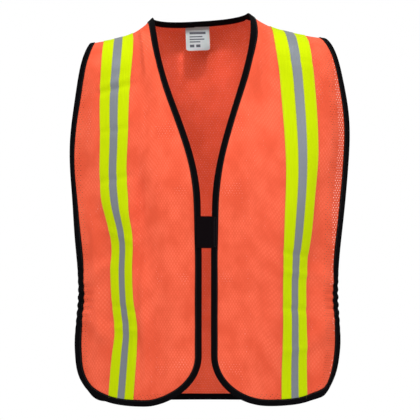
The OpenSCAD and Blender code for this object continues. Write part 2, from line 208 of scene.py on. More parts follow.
def collar(x, w):
    """The back neck's binding stands more upright than the cloth below it."""
    d = np.maximum(0, w - neckline_w(x, 0)) / BINDING_W
    return COLLAR_RISE * np.minimum(d, 1) * smooth((3.3 - d) / 2.3) * smooth(w / 0.03)


NORMAL_STEP = 0.5 * MM


def normal_of(surface, side, x, w):
    d = NORMAL_STEP
    across = surface(side, x + d, w) - surface(side, x - d, w)
    down = surface(side, x, w + d) - surface(side, x, w - d)
    n = np.cross(down, across) * -side
    return n / np.linalg.norm(n, axis=-1, keepdims=True)


# Folds of the cloth: each runs from one point to another (across, height), with a width and a rise
FRONT_FOLDS = {
    RIGHT: [
        ((-0.100, -0.020), (-0.072, -0.150), 0.014, 0.0040),
        ((-0.106, -0.020), (-0.099, -0.100), 0.0055, 0.0034),
        ((-0.118, -0.030), (-0.108, -0.170), 0.016, -0.0030),
        ((-0.196, -0.060), (-0.188, -0.260), 0.016, 0.0035),
        ((-0.112, -0.250), (-0.100, -0.420), 0.020, -0.0050),
        ((-0.170, -0.280), (-0.176, -0.500), 0.020, 0.0050),
        ((-0.113, -0.240), (-0.111, -0.600), 0.0070, -0.0055),
        ((-0.060, -0.300), (-0.045, -0.600), 0.026, 0.0030),
        ((-0.100, -0.400), (-0.118, -0.600), 0.022, 0.0040),
        ((-0.205, -0.440), (-0.160, -0.400), 0.012, 0.0030),
        ((-0.205, -0.480), (-0.165, -0.530), 0.012, 0.0030),
    ],
    LEFT: [
        ((0.096, -0.020), (0.070, -0.130), 0.014, 0.0040),
        ((0.115, -0.030), (0.104, -0.170), 0.016, -0.0030),
        ((0.196, -0.060), (0.190, -0.280), 0.016, 0.0035),
        ((0.180, -0.250), (0.176, -0.440), 0.016, -0.0040),
        ((0.100, -0.300), (0.110, -0.560), 0.024, 0.0035),
        ((0.055, -0.330), (0.045, -0.600), 0.022, -0.0030),
        ((0.205, -0.440), (0.165, -0.410), 0.012, 0.0030),
        ((0.205, -0.485), (0.165, -0.540), 0.012, 0.0030),
    ],
}
# Slanting creases across the front tapes: start, end, rise
CREASES = [
    ((-0.186, -0.130), (-0.112, -0.110), -0.0016), ((-0.182, -0.119), (-0.120, -0.099), 0.0010),
    ((-0.184, -0.194), (-0.122, -0.184), -0.0010), ((-0.186, -0.276), (-0.122, -0.262), -0.0012),
    ((-0.172, -0.350), (-0.112, -0.372), 0.0014), ((-0.168, -0.470), (-0.108, -0.482), -0.0014),
    ((-0.165, -0.505), (-0.108, -0.512), 0.0014), ((0.112, -0.078), (0.172, -0.086), -0.0009),
    ((0.112, -0.385), (0.172, -0.395), -0.0014), ((0.112, -0.415), (0.172, -0.424), 0.0012),
    ((0.112, -0.474), (0.172, -0.482), -0.0014), ((0.112, -0.545), (0.172, -0.540), 0.0010),
]
CREASE_WIDTH = 6 * MM
BACK_FOLDS = [
    ((-0.02, -0.06), (-0.05, -0.30), 0.030, 0.0030),
    ((0.05, -0.05), (0.03, -0.28), 0.028, -0.0025),
    ((-0.08, -0.25), (-0.06, -0.60), 0.030, 0.0040),
    ((0.07, -0.30), (0.09, -0.61), 0.028, 0.0040),
    ((0.01, -0.32), (-0.01, -0.61), 0.024, -0.0035),
    ((-0.19, -0.45), (-0.14, -0.40), 0.014, 0.0030),
    ((0.19, -0.45), (0.14, -0.40), 0.014, 0.0030),
    ((-0.19, -0.49), (-0.15, -0.55), 0.014, 0.0030),
    ((0.19, -0.49), (0.15, -0.55), 0.014, 0.0030),
]


def fold(x, z, start, end, width, rise):
    a, b = np.array(start), np.array(end)
    d = b - a
    length = np.linalg.norm(d)
    along = ((x - a[0]) * d[0] + (z - a[1]) * d[1]) / length ** 2
    off = ((x - a[0]) * d[1] - (z - a[1]) * d[0]) / length
    ends = smooth((along + 0.15) / 0.4) * smooth((1.15 - along) / 0.4)
    return rise * bump(off / width) * ends


GATHER_RISE = 1.3 * MM
GATHER_REACH = 0.034
GATHER_PITCH = 0.0125
STILL_TOP = 0.045           # the cloth lies smooth at the shoulder line, and drapes fully below this


def gathers(side, x, z):
    """Small puckers where the side elastic pulls the edge in."""
    edge = WAIST_HALF - (BACK_INSET if side == BACK else 0)
    near = smooth((np.abs(x) - edge + GATHER_REACH) / GATHER_REACH) * bump((z - ELASTIC_Z) / GATHER_REACH)
    return GATHER_RISE * near * np.sin(2 * math.pi * z / GATHER_PITCH)


def drape(side, x, w):
    """How far the worn cloth stands off its smooth surface: waves, folds, creases and gathers."""
    z = shoulder_z(x) - sink(w)
    d = 0.8 * MM * np.sin(23 * x + 9 * z + 1.3 * side) + 0.6 * MM * np.sin(41 * z - 17 * x)
    folds = BACK_FOLDS if side == BACK else FRONT_FOLDS[RIGHT] + FRONT_FOLDS[LEFT]
    for f in folds:
        d = d + fold(x, z, *f)
    if side == FRONT:
        for start, end, rise in CREASES:
            d = d + fold(x, z, start, end, CREASE_WIDTH, rise)
    return (d + gathers(side, x, z)) * smooth(w / STILL_TOP)


def surface(side, x, w):
    return base(side, x, w) + normal_of(base, side, x, w) * drape(side, x, w)[..., None]


def raised(side, xw, h):
    x, w = xw[..., 0], xw[..., 1]
    return surface(side, x, w) + normal_of(surface, side, x, w) * np.asarray(h)[..., None]


# ------------------------------------------------
# Outlines. s is the depth below the shoulder line and e the distance in from the edge.
INNER_BEND = FRONT_LENGTH - INNER_RISE
OUTER_BEND = FRONT_LENGTH - OUTER_RISE - SHOULDER_DROP
BACK_BEND = BACK_LENGTH - BACK_CORNER - SHOULDER_DROP


def v_edge(s):
    wide = 0.88 * np.cos(math.pi / 2 * np.clip(s / V_DEPTH, 0, 1)) ** 2
    wide = wide + 0.12 * (1 - np.clip(s / (V_DEPTH + 0.08), 0, 1))
    return GAP_HALF + (NECK_CURVE_HALF - GAP_HALF) * wide


def side_edge(s):
    z = -SHOULDER_DROP - s
    chest = CHEST_EXTRA * bump((z - CHEST_Z) / CHEST_SPREAD)
    tip = (WAIST_HALF + 3 * MM - TIP_HALF) * np.exp(-s / 0.030)
    return WAIST_HALF + chest - tip + HIP_EXTRA * bump((z - HIP_Z) / HIP_SPREAD)


HEM_HALF_OUT = float(side_edge(OUTER_BEND)) - HEM_LOW_X
HEM_HALF_IN = HEM_LOW_X - GAP_HALF
BACK_FLAT_HALF = float(side_edge(BACK_BEND)) - BACK_INSET - BACK_CORNER


def squircle(v, p):
    return np.maximum(0, 1 - np.clip(v, 0, 1) ** p) ** (1 / p)


def inner_x(s, e):
    curved = HEM_LOW_X - (HEM_HALF_IN - e) * squircle((s - INNER_BEND) / (INNER_RISE - e), 2)
    return np.where(s < INNER_BEND, v_edge(s) + e, curved)


def outer_x(s, e):
    curved = HEM_LOW_X + (HEM_HALF_OUT - e) * squircle((s - OUTER_BEND) / (OUTER_RISE - e), CORNER_POWER)
    return np.where(s < OUTER_BEND, side_edge(s) - e, curved)


def hem_z(x, e):
    inner = -INNER_BEND - (INNER_RISE - e) * squircle((HEM_LOW_X - x) / (HEM_HALF_IN - e), 2)
    outer = squircle((x - HEM_LOW_X) / (HEM_HALF_OUT - e), CORNER_POWER)
    return np.where(x < HEM_LOW_X, inner, -OUTER_BEND - SHOULDER_DROP - (OUTER_RISE - e) * outer)


def w_at(x, z):
    return unsink(shoulder_z(x) - z)


def front_ends(t, e):
    """Across and along at row t: the inner edge's and the side's places."""
    corner_in = INNER_BEND + (INNER_RISE - e) * math.sqrt(0.5)
    corner_out = OUTER_BEND + (OUTER_RISE - e) * 0.5 ** (1 / CORNER_POWER)
    w0, w1 = t * unsink(corner_in), t * unsink(corner_out)
    return inner_x(sink(w0), e), outer_x(sink(w1), e), w0, w1


def front_xw(f, t, e):
    x0, x1, w0, w1 = front_ends(t, e)
    hx0, hx1, hw0, hw1 = front_ends(1.0, e)
    hem_x = mix(hx0, hx1, f)
    sag = w_at(hem_x, hem_z(hem_x, e)) - mix(hw0, hw1, f)
    return np.stack(np.broadcast_arrays(mix(x0, x1, f), mix(w0, w1, f) + t * sag), -1)


def back_side_x(s, e):
    straight = side_edge(s) - BACK_INSET * smooth(s / 0.12) - e
    curved = BACK_FLAT_HALF + (BACK_CORNER - e) * squircle((s - BACK_BEND) / (BACK_CORNER - e), 2)
    return np.where(s < BACK_BEND, straight, curved)


def back_hem_z(x, e):
    radius = BACK_CORNER - e
    return -BACK_LENGTH + BACK_CORNER - radius * squircle((np.abs(x) - BACK_FLAT_HALF) / radius, 2)


def neckline_w(x, e):
    return (NECK_DIP + e) * squircle(np.abs(x) / (NECK_CURVE_HALF + e), NECK_POWER)


def front_rim(e, step=4 * MM):
    """The edge of a front from its neck point, down, along the hem and up to the shoulder tip."""
    n = int(FRONT_LENGTH / step)
    t = np.linspace(0, 1, n)
    f = np.linspace(0, 1, int(0.16 / step))[1:-1]
    return np.concatenate([front_xw(0, t, e), front_xw(f, 1.0, e), front_xw(1, t[::-1], e)])


def back_rim(e, step=4 * MM):
    corner_w = float(unsink(BACK_BEND + (BACK_CORNER - e) * math.sqrt(0.5)))
    w = np.linspace(0, corner_w, int(BACK_LENGTH / step))
    side_x = back_side_x(sink(w), e)
    hem_x = np.linspace(-side_x[-1], side_x[-1], int(0.38 / step))[1:-1]
    return np.concatenate([
        np.stack([-side_x, w], -1),
        np.stack([hem_x, w_at(hem_x, back_hem_z(hem_x, e))], -1),
        np.stack([side_x, w], -1)[::-1],
    ])


def neck_rim(e, count=64):
    a = np.linspace(0, math.pi, count)
    across = np.sign(np.cos(a)) * np.abs(np.cos(a)) ** (2 / NECK_POWER)
    return np.stack([(NECK_CURVE_HALF + e) * across, (NECK_DIP + e) * np.sin(a) ** (2 / NECK_POWER)], -1)


def mirrored(xw, side_sign):
    return xw * np.array([side_sign, 1.0])


# Middle line of each tape, as its distance from the middle of the vest at a few heights
TAPE_PATH = {
    (FRONT, RIGHT): curve_through([
        (0.0, 0.138), (-0.05, 0.146), (-0.11, 0.152), (-0.20, 0.154), (-0.27, 0.156), (-0.31, 0.152),
        (-0.37, 0.142), (-0.42, 0.1425), (-0.47, 0.140), (-0.515, 0.135), (-0.55, 0.1375), (-0.63, 0.1435)]),
    (FRONT, LEFT): curve_through([
        (0.0, 0.137), (-0.05, 0.139), (-0.11, 0.145), (-0.20, 0.149), (-0.27, 0.150), (-0.34, 0.146),
        (-0.42, 0.141), (-0.50, 0.140), (-0.63, 0.140)]),
    (BACK, RIGHT): curve_through([(0.0, 0.142), (-0.2, 0.143), (-0.4, 0.140), (-0.63, 0.141)]),
    (BACK, LEFT): curve_through([(0.0, 0.137), (-0.2, 0.139), (-0.4, 0.142), (-0.63, 0.140)]),
}


def tape_point(side, hand, w, off):
    """A place on the tape: w along it, off across it from its middle."""
    z = -sink(w) - SHOULDER_DROP * DROP_AT_TAPE
    mid = TAPE_PATH[side, hand](z)
    x = mid + off / np.sqrt(1 + (2 * bow(side, z) * mid) ** 2)
    return np.stack(np.broadcast_arrays(hand * x, w), -1)


# ------------------------------------------------
# How the vest hangs unevenly. These move it sideways, by place across or, at the edges, by height.
SIDEWAYS = curve_through([
    (-0.230, 0.0105), (-0.212, 0.0105), (-0.170, 0.0065), (-0.120, 0.0065), (-0.075, -0.003),
    (0, -0.003), (0.075, -0.003), (0.118, -0.003), (0.145, 0.0033), (0.172, 0.0081),
    (0.212, 0.012), (0.235, 0.013)])
RIGHT_EDGE = curve_through([
    (0, 0.0105), (-0.12, 0.0135), (-0.28, 0.009), (-0.36, 0.0075), (-0.45, 0.010), (-0.53, 0.009),
    (-0.60, 0.012)])
LEFT_EDGE = curve_through([
    (0, 0.008), (-0.07, 0.0089), (-0.15, 0.012), (-0.25, 0.0105), (-0.38, 0.008), (-0.46, 0.0057),
    (-0.54, 0.0065), (-0.59, 0.0015), (-0.64, 0)])
EDGE_START, EDGE_REACH = 0.172, 0.040
# The back's left edge hangs further out below the waist
BACK_PULL = 0.010
# The left front faces more forward: its depth changes by place across
TURNED = curve_through([
    (0.05, 0), (0.09, 0), (0.13, -0.009), (0.165, -0.014), (0.195, -0.008), (0.22, 0), (0.25, 0)])
# How much narrower each front looks at its tape, below the waist, where the cloth turns to the side
NARROWED = {
    RIGHT: curve_through([
        (0, 1.04), (-0.10, 1.04), (-0.20, 0.99), (-0.276, 0.95), (-0.301, 0.90), (-0.327, 0.74),
        (-0.352, 0.68), (-0.43, 0.70), (-0.49, 0.72), (-0.515, 0.78), (-0.545, 0.87), (-0.64, 0.88)]),
    LEFT: curve_through([
        (0, 1), (-0.276, 1), (-0.31, 0.96), (-0.352, 0.92), (-0.404, 0.82), (-0.48, 0.79),
        (-0.54, 0.82), (-0.64, 0.84)]),
}


# Where and how much the cloth narrows at the tapes, and how its depth changes with that
NARROW_HALF, NARROW_FADE, NARROW_DEPTH = 0.048, 0.022, 0.65
# The right side's binding turns away at the foot of the armhole: share, height, spread and depth
TURN_SHARE, TURN_Z, TURN_SPREAD, TURN_DEPTH = 0.38, -0.235, 0.09, 1.2


def as_worn(points):
    """Moves points of the even vest to where the uneven hang takes them."""
    points = np.array(points, float)
    z = points[:, 2]
    at_front = smooth((-points[:, 1] - 0.02) / 0.03)
    for hand in (RIGHT, LEFT):
        off = hand * points[:, 0] - TAPE_PATH[FRONT, hand](z)
        share = (1 - NARROWED[hand](z)) * smooth((NARROW_HALF - np.abs(off)) / NARROW_FADE) * at_front
        points[:, 0] -= hand * off * share
        points[:, 1] += NARROW_DEPTH * off * share
    inset = side_edge(np.maximum(0, -SHOULDER_DROP - z)) + points[:, 0]
    turned = TURN_SHARE * np.clip(inset, 0, BINDING_W) * smooth((0.036 - inset) / 0.025)
    turned = turned * bump((z - TURN_Z) / TURN_SPREAD) * at_front
    points[:, 0] -= turned
    points[:, 1] += TURN_DEPTH * turned
    x, y = points[:, 0].copy(), points[:, 1]
    near_edge = smooth((np.abs(x) - EDGE_START) / EDGE_REACH)
    pulled = BACK_PULL * smooth((-z - 0.30) / 0.10) * smooth((y + 0.01) / 0.03)
    points[:, 0] += mix(SIDEWAYS(x), np.where(x < 0, RIGHT_EDGE(z), LEFT_EDGE(z) + pulled), near_edge)
    points[:, 1] += TURNED(x) * at_front * smooth((z + 0.42) / 0.12)
    return points


# ------------------------------------------------
# Mesh building
def add_mesh(name, points, faces, material, uvs=None):
    """uvs holds one place per point, in millimetres of cloth."""
    mesh = bpy.data.meshes.new(name)
    mesh.from_pydata(as_worn(points).tolist(), [], faces if isinstance(faces, list) else faces.tolist())
    if uvs is not None:
        layer = mesh.uv_layers.new(name="cloth")
        loop_points = np.zeros(len(mesh.loops), np.int32)
        mesh.loops.foreach_get("vertex_index", loop_points)
        layer.data.foreach_set("uv", np.asarray(uvs)[loop_points].astype(np.float32).ravel())
    mesh.materials.append(material)
    mesh.polygons.foreach_set("use_smooth", [True] * len(mesh.polygons))
    mesh.validate()
    mesh.update()
    obj = bpy.data.objects.new(name, mesh)
    bpy.context.collection.objects.link(obj)
    return obj


def face_outward(obj):
    bm = bmesh.new()
    bm.from_mesh(obj.data)
    bmesh.ops.recalc_face_normals(bm, faces=bm.faces)
    bm.to_mesh(obj.data)
    bm.free()


def solid(name, points, faces, material, uvs):
    """A closed mesh with its faces outward and its edges sharp."""
    obj = add_mesh(name, points, faces, material, uvs)
    face_outward(obj)
    obj.data.set_sharp_from_angle(angle=math.radians(50))
    return obj


def closed_sheet(name, top, bottom, uv, material):
    """A solid between two grids of points, each an array (row, column, 3)."""
    rows, cols = top.shape[:2]
    n = rows * cols
    r, c = np.meshgrid(np.arange(rows - 1), np.arange(cols - 1), indexing="ij")
    a = (r * cols + c).ravel()
    quads = np.stack([a, a + 1, a + cols + 1, a + cols], -1)
    loop = np.concatenate([
        np.arange(cols), np.arange(1, rows) * cols + cols - 1,
        (rows - 1) * cols + np.arange(cols - 2, -1, -1), np.arange(rows - 2, 0, -1) * cols])
    after = np.roll(loop, -1)
    wall = np.stack([after, loop, loop + n, after + n], -1)
    points = np.concatenate([top.reshape(-1, 3), bottom.reshape(-1, 3)])
    faces = np.concatenate([quads, quads[:, ::-1] + n, wall])
    return solid(name, points, faces, material, np.concatenate([uv, uv]))


def strip_solid(name, side, xw, low, high, material):
    """A closed strip on the cloth: xw is a grid of places, low and high its two heights."""
    top, bottom = (raised(side, xw, np.broadcast_to(h, xw.shape[:2])) for h in (high, low))
    return closed_sheet(name, top, bottom, xw.reshape(-1, 2) / MM, material)


def ring_solid(name, rings, material, uv_length):
    """A capped tube through rings, an array (ring, point, 3). uv runs along it and round it."""
    count, k = rings.shape[:2]
    r, j = np.meshgrid(np.arange(count - 1), np.arange(k), indexing="ij")
    a, b = (r * k + j).ravel(), (r * k + (j + 1) % k).ravel()
    faces = np.stack([a, b, b + k, a + k], -1).tolist()
    faces += [list(range(k))[::-1], [(count - 1) * k + i for i in range(k)]]
    uv = np.stack(np.broadcast_arrays(uv_length[:, None] / MM, np.arange(k)[None, :] * 1.5), -1)
    return solid(name, rings.reshape(-1, 3), faces, material, uv.reshape(-1, 2))


def length_along(points):
    return np.concatenate([[0], np.cumsum(np.linalg.norm(np.diff(points, axis=0), axis=-1))])


# ------------------------------------------------
# Materials. Lengths in them are millimetres of cloth, from the meshes' own UVs.
def new_material(name, color, roughness, specular=0.3):
    mat = bpy.data.materials.new(name)
    mat.use_nodes = True
    shader = mat.node_tree.nodes["Principled BSDF"]
    shader.inputs["Base Color"].default_value = (*color, 1)
    shader.inputs["Roughness"].default_value = roughness
    shader.inputs["Specular IOR Level"].default_value = specular
    return mat, shader


def add_node(mat, kind, **values):
    node = mat.node_tree.nodes.new(kind)
    for key, value in values.items():
        if key in node.inputs:
            node.inputs[key].default_value = value
        else:
            setattr(node, key, value)
    return node


def join(mat, source, target):
    mat.node_tree.links.new(source, target)


def cloth_place(mat, stretch):
    """The cloth's UVs, stretched."""
    place = add_node(mat, "ShaderNodeMapping")
    place.inputs["Scale"].default_value = (*stretch, 1)
    join(mat, add_node(mat, "ShaderNodeUVMap", uv_map="cloth").outputs["UV"], place.inputs["Vector"])
    return place.outputs["Vector"]


def noise(mat, stretch, **values):
    node = add_node(mat, "ShaderNodeTexNoise", **values)
    join(mat, cloth_place(mat, stretch), node.inputs["Vector"])
    return node.outputs["Fac"]


def two_tone(mat, shader, value, low, high, low_color, high_color):
    ramp = add_node(mat, "ShaderNodeValToRGB")
    for element, position, color in zip(ramp.color_ramp.elements, (low, high), (low_color, high_color)):
        element.position = position
        element.color = (*color, 1)
    join(mat, value, ramp.inputs["Fac"])
    join(mat, ramp.outputs["Color"], shader.inputs["Base Color"])
    return ramp.outputs["Color"]


def ribs(mat, shader, pitch, across=True, distortion=0.4, strength=0.5, height=0.15):
    """Fine woven or knitted ribs, as a bump."""
    wave = add_node(mat, "ShaderNodeTexWave", wave_type="BANDS", bands_direction="X" if across else "Y",
                    Scale=20 / (2 * math.pi), Distortion=distortion, Detail=1.0)
    turns = math.pi / 10 / pitch
    join(mat, cloth_place(mat, (turns, turns)), wave.inputs["Vector"])
    relief = add_node(mat, "ShaderNodeBump", Strength=strength, Distance=height * MM)
    join(mat, wave.outputs["Fac"], relief.inputs["Height"])
    join(mat, relief.outputs["Normal"], shader.inputs["Normal"])


# Colours, in linear light
ORANGE_LIT = (0.82, 0.112, 0.054)
ORANGE_DEEP = (0.72, 0.088, 0.040)
# The next colour is a painted highlight, put on the yarn round the mesh's holes
ORANGE_PAINTED_HIGHLIGHT = (1.0, 0.25, 0.15)
BLACK = (0.0022, 0.0018, 0.0025)
LIME = (0.52, 0.66, 0.001)
SILVER = (0.20, 0.225, 0.25)


def painted_rim_highlight(mat):
    """Painted highlight mask: 1 in the middle of each hole of the mesh and 0 half-way between holes, so the
    yarn round each hole is painted paler.
    """
    parts = add_node(mat, "ShaderNodeSeparateXYZ")
    waves = (2 * math.pi / (HOLE_PITCH / MM), math.pi / (HOLE_ROW / MM))
    join(mat, cloth_place(mat, waves), parts.inputs["Vector"])
    both = add_node(mat, "ShaderNodeMath", operation="MULTIPLY")
    for i, (axis, operation) in enumerate((("X", "COSINE"), ("Y", "SINE"))):
        one = add_node(mat, "ShaderNodeMath", operation=operation)
        join(mat, parts.outputs[axis], one.inputs[0])
        join(mat, one.outputs[0], both.inputs[i])
    return both.outputs[0]


def mesh_cloth(name, highlight_share, painted_glow):
    """The glow is painted light: an even emission that stands for the light coming through the thin
    fluorescent cloth.
    """
    mat, shader = new_material(name, ORANGE_LIT, 0.8, specular=0.05)
    shader.inputs["Emission Color"].default_value = (1.0, 0.16, 0.05, 1)
    shader.inputs["Emission Strength"].default_value = painted_glow
    patches = noise(mat, (0.03, 0.022), Scale=1.0, Detail=3.0)
    cloth = two_tone(mat, shader, patches, 0.35, 0.65, ORANGE_DEEP, ORANGE_LIT)
    # Painted highlight: the yarn round each hole is made paler, more in some patches than in others
    highlight_mask = add_node(mat, "ShaderNodeMapRange", **{"From Min": 0.1, "From Max": 0.8, "To Min": 0})
    fade = add_node(mat, "ShaderNodeMapRange", **{
        "From Min": 0.38, "From Max": 0.62, "To Min": 0.15 * highlight_share, "To Max": highlight_share})
    join(mat, painted_rim_highlight(mat), highlight_mask.inputs["Value"])
    join(mat, patches, fade.inputs["Value"])
    join(mat, fade.outputs["Result"], highlight_mask.inputs["To Max"])
    blend = add_node(mat, "ShaderNodeMix", data_type="RGBA")
    join(mat, highlight_mask.outputs["Result"], blend.inputs[0])
    join(mat, cloth, blend.inputs[6])
    blend.inputs[7].default_value = (*ORANGE_PAINTED_HIGHLIGHT, 1)
    join(mat, blend.outputs[2], shader.inputs["Base Color"])
    ribs(mat, shader, 0.55, strength=0.55, height=0.12)
    return mat


def ribbed(name, color, roughness, specular, pitch, **rib):
    mat, shader = new_material(name, color, roughness, specular)
    ribs(mat, shader, pitch, **rib)
    return mat


def tape_cloth():
    mat, shader = new_material("lime_tape", LIME, 0.8, specular=0.03)
    streaks = noise(mat, (0.9, 0.006), Detail=2.0)
    two_tone(mat, shader, streaks, 0.3, 0.6, (0.44, 0.57, 0.001), LIME)
    ribs(mat, shader, 0.45, across=False, strength=0.4, height=0.08)
    return mat


def silver_cloth():
    mat, shader = new_material("silver_stripe", SILVER, 0.45, specular=0.3)
    shader.inputs["Metallic"].default_value = 0.25
    streaks = noise(mat, (1.6, 0.02), Detail=4.0)
    two_tone(mat, shader, streaks, 0.3, 0.7, (0.16, 0.18, 0.20), (0.22, 0.24, 0.26))
    ribs(mat, shader, 0.5, across=False, strength=0.25, height=0.05)
    return mat


def plain(name, color, roughness=0.6):
    return new_material(name, color, roughness)[0]


MATERIALS = {
    # The last argument is a painted glow. The back's copy glows more, which brightens its shaded inside, and
    # it has less painted highlight round its holes
    "orange_mesh": mesh_cloth("orange_mesh", 0.6, 0.04),
    "back_mesh": mesh_cloth("back_mesh", 0.1, 0.075),
    "black_binding": ribbed("black_binding", BLACK, 0.9, 0.04, 0.7, strength=0.7, height=0.2),
    "lime_tape": tape_cloth(),
    "silver_stripe": silver_cloth(),
    "black_elastic": ribbed("black_elastic", BLACK, 0.8, 0.06, 1.4, across=False, distortion=0.1,
                            strength=0.9, height=0.5),
    "black_hook_loop": ribbed("black_hook_loop", (0.005, 0.003, 0.004), 0.95, 0.03, 0.9,
                              strength=0.8, height=0.3),
    "woven_label": ribbed("woven_label", (0.34, 0.38, 0.38), 0.7, 0.3, 0.35, across=False,
                          strength=0.4, height=0.06),
    "thread": plain("thread", (0.012, 0.011, 0.013)),
    "tape_thread": plain("tape_thread", (0.62, 0.52, 0.03)),
    "label_print": plain("label_print", (0.05, 0.055, 0.07)),
}


def finish_piece(obj, slot, nodes=(), body=None, hand=None):
    """Hides the named parts. With a hand, the piece's transform is baked into its mesh; otherwise the piece
    is attached to the body.
    """
    if nodes:
        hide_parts(*nodes)
    if hand is not None:
        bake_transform(obj)
    else:
        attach(obj, body)
    return obj


def moves_of(side, hand):
    return {"hand": hand} if side == FRONT else {"body": "back"}


# ------------------------------------------------
# Mesh cloth with real holes: hexagonal cells in rows, each a ring round its hole
# The corners in order round a cell, as (row line, half step, shift along the cloth)
CELL = [(0, -1, 1), (0, 0, -1), (0, 1, 1), (1, 1, -1), (1, 0, 1), (1, -1, -1)]
HOLE_SQUEEZE = np.array([0.9, 1, 0.9, 0.9, 1, 0.9])
ROW_KEY = 4096              # more half steps than any row has
MESH_HALF = 0.24
MIDDLE_CLEAR = 0.005
HIDDEN_EDGE = 4 * MM        # how far inside the binding the mesh ends


def mesh_panel(name, side, inside, x_range, share):
    half = HOLE_PITCH / 2
    rows = int(CUT_LENGTH / HOLE_ROW)
    k0, k1 = int(x_range[0] / half) - 2, int(x_range[1] / half) + 2
    r, k = (a.ravel() for a in np.meshgrid(np.arange(rows), np.arange(k0, k1), indexing="ij"))
    keep = ((r + k) % 2 == 0) & inside(k * half, (r + 0.5) * HOLE_ROW)
    r, k = r[keep], k[keep]
    cx, cw = (k * half)[:, None], ((r + 0.5) * HOLE_ROW)[:, None]
    keys = np.stack([(r + dr) * ROW_KEY + (k + dk - k0) for dr, dk, _ in CELL], -1)
    ox = np.stack([(k + dk) * half for _, dk, _ in CELL], -1)
    ow = np.stack([(r + dr) * HOLE_ROW + shift * HEX_SHIFT for dr, _, shift in CELL], -1)
    _, first, index = np.unique(keys.ravel(), return_index=True, return_inverse=True)
    index = index.reshape(-1, 6)
    outer = np.stack([ox.ravel()[first], np.maximum(ow.ravel()[first], 0)], -1)
    hx = cx + share * (ox - cx)
    hw = cw + share * (ow - cw) * HOLE_SQUEEZE
    hole = np.stack([hx.ravel(), np.maximum(hw.ravel(), 0)], -1)
    inner = len(outer) + np.arange(len(r) * 6).reshape(-1, 6)
    after = np.roll(np.arange(6), -1)
    faces = np.stack([index, index[:, after], inner[:, after], inner], -1).reshape(-1, 4)
    xw = np.concatenate([outer, hole])
    rise = np.concatenate([np.full(len(outer), 0.5 * HOLE_SINK), np.full(len(hole), -HOLE_SINK)])
    if side == BACK:
        return add_mesh(name, raised(side, xw, rise), faces, MATERIALS["back_mesh"], xw / MM)
    return add_mesh(name, raised(side, xw, rise), faces[:, ::-1], MATERIALS["orange_mesh"], xw / MM)


def inside_front(x, w):
    z = shoulder_z(x) - sink(w)
    across = (x > v_edge(-z) + HIDDEN_EDGE) & (x < side_edge(sink(w)) - HIDDEN_EDGE)
    return across & (z > hem_z(x, HIDDEN_EDGE))


def inside_back(x, w):
    z = shoulder_z(x) - sink(w)
    low = z > back_hem_z(x, HIDDEN_EDGE)
    return (np.abs(x) < back_side_x(sink(w), HIDDEN_EDGE)) & low & (w > neckline_w(x, HIDDEN_EDGE))


back_mesh = mesh_panel("back_mesh", BACK, inside_back, (-MESH_HALF, MESH_HALF), BACK_HOLE)
finish_piece(back_mesh, "orange_mesh", ["back_panel"], body="back")
for hand, name in HANDS:
    span = sorted((hand * MIDDLE_CLEAR, hand * MESH_HALF))
    front = mesh_panel(name + "_front_mesh", FRONT, lambda x, w: inside_front(x * hand, w), span, FRONT_HOLE)
    finish_piece(front, "orange_mesh", [name + "_front_panel"], hand=hand)

# ------------------------------------------------
# Binding: a folded tape round every edge. The fold is drawn as (distance in from the edge, height).
LEAF_OUT = LEAF_H + LEAF_T
BUNCH_PITCH = 3.1 * MM
FINE = 1.5 * MM
BINDING_FOLD = [
    (BINDING_W, LEAF_H), (BINDING_W + 0.1 * MM, LEAF_OUT - 0.2 * MM), (BINDING_W - 0.4 * MM, LEAF_OUT),
    (6.0 * MM, LEAF_OUT + 0.1 * MM), (2.0 * MM, LEAF_OUT + 0.1 * MM), (0.7 * MM, LEAF_OUT - 0.1 * MM),
    (0.1 * MM, 0.5 * MM), (0.1 * MM, -0.5 * MM), (0.7 * MM, 0.1 * MM - LEAF_OUT), (2.0 * MM, -LEAF_OUT),
    (6.0 * MM, -LEAF_OUT), (BINDING_W - 0.4 * MM, -LEAF_OUT), (BINDING_W, -LEAF_H),
    (1.3 * MM, -LEAF_H), (1.3 * MM, LEAF_H),
]


def bunched(z):
    """How much the binding is bunched up at this height, where the side elastic pulls it."""
    return bump((z - ELASTIC_Z) / 0.030) + 0.5 * bump((z - ELASTIC_Z - 0.045) / 0.02)


def binding(name, side, rim, hand=LEFT, puckered=True):
    out, inner = mirrored(rim(0.0), hand), mirrored(rim(BINDING_W), hand)
    edge = surface(side, out[:, 0], out[:, 1])
    along = length_along(edge)
    pull = bunched(edge[:, 2]) * (smooth((np.abs(out[:, 0]) - 0.17) / 0.02) if puckered else 0)
    wave = np.sin(2 * math.pi * along / BUNCH_PITCH + 1.7 * np.sin(along / 0.011))
    slow = np.sin(along / 0.0135) * 0.5 + np.sin(along / 0.029 + 1) * 0.5
    rings = []
    for inset, h in BINDING_FOLD:
        share = inset / BINDING_W
        width = share * (1 + 0.02 * slow - 0.10 * pull + 0.09 * pull * wave)
        swell = 1 + 0.5 * pull + 0.5 * pull * wave * smooth(share * 1.5)
        rings.append(raised(side, mix(out, inner, width[:, None]), h * swell))
    return ring_solid(name, np.stack(rings, 1), MATERIALS["black_binding"], along)


back_edge = binding("back_edge_binding", BACK, lambda e: back_rim(e, FINE))
finish_piece(back_edge, "black_binding", ["back_binding"], body="back")
neck_edge = binding("back_neck_edge_binding", BACK, lambda e: neck_rim(e, 120), puckered=False)
finish_piece(neck_edge, "black_binding", ["back_neck_binding"], body="back")
for hand, name in HANDS:
    edge = binding(name + "_front_edge_binding", FRONT, lambda e: front_rim(e, FINE), hand)
    finish_piece(edge, "black_binding", [name + "_front_binding"], hand=hand)

# ------------------------------------------------
# Tapes and stripes
TAPE_MIDDLE = 0.141


def hem_at(side, x, inset):
    x = np.abs(x)
    return w_at(x, hem_z(x, inset) if side == FRONT else back_hem_z(x, inset))


